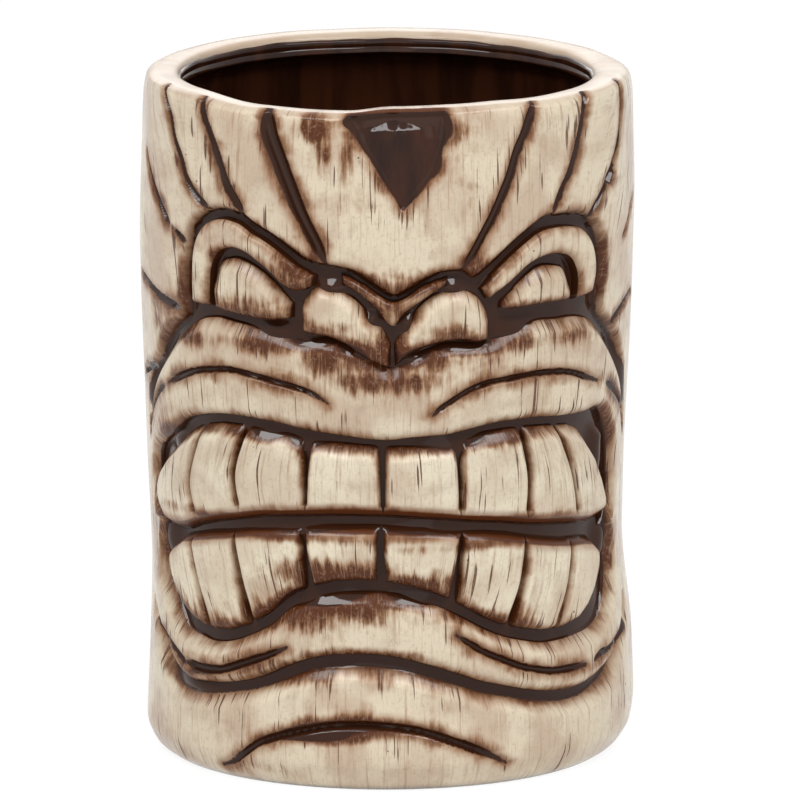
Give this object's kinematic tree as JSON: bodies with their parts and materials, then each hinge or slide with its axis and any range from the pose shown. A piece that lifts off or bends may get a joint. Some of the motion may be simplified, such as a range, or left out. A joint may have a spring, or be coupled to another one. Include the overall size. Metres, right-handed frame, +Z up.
{
  "type": "tiki mug",
  "caption": "Straight-sided glazed ceramic cup with a carved traditional face, raised lips and two rows of teeth.",
  "frame": {"origin": "centre of the foot, on the surface the mug stands on", "axes": "+Z up along the cup, the carved face looks towards -Y, +X is the viewer's right"},
  "size_m": [0.0938, 0.0938, 0.13],
  "materials": {
    "washed_glaze": "cream stoneware under a clear gloss glaze, with a brown wash in the grain and the grooves",
    "tooth_glaze": "pale cream under a clear gloss glaze, brown wash at the edges",
    "dark_glaze": "thick dark brown gloss glaze"
  },
  "bodies": {
    "root": {"cast_body": "washed_glaze", "brow_left": "washed_glaze", "brow_right": "washed_glaze", "eye_left": "washed_glaze", "eye_right": "washed_glaze", "nose_bridge": "washed_glaze", "nostril_left": "washed_glaze", "nostril_right": "washed_glaze", "upper_lip": "washed_glaze", "lower_lip": "washed_glaze", "forehead": "washed_glaze", "chin": "washed_glaze", "liner_glaze": "dark_glaze", "forehead_glaze": "dark_glaze", "upper_tooth_1": "tooth_glaze", "upper_tooth_2": "tooth_glaze", "upper_tooth_3": "tooth_glaze", "upper_tooth_4": "tooth_glaze", "upper_tooth_5": "tooth_glaze", "upper_tooth_6": "tooth_glaze", "upper_tooth_7": "tooth_glaze", "upper_tooth_8": "tooth_glaze", "lower_tooth_1": "tooth_glaze", "lower_tooth_2": "tooth_glaze", "lower_tooth_3": "tooth_glaze", "lower_tooth_4": "tooth_glaze", "lower_tooth_5": "tooth_glaze", "lower_tooth_6": "tooth_glaze", "lower_tooth_7": "tooth_glaze", "lower_tooth_8": "tooth_glaze"}
  },
  "joints": []
}
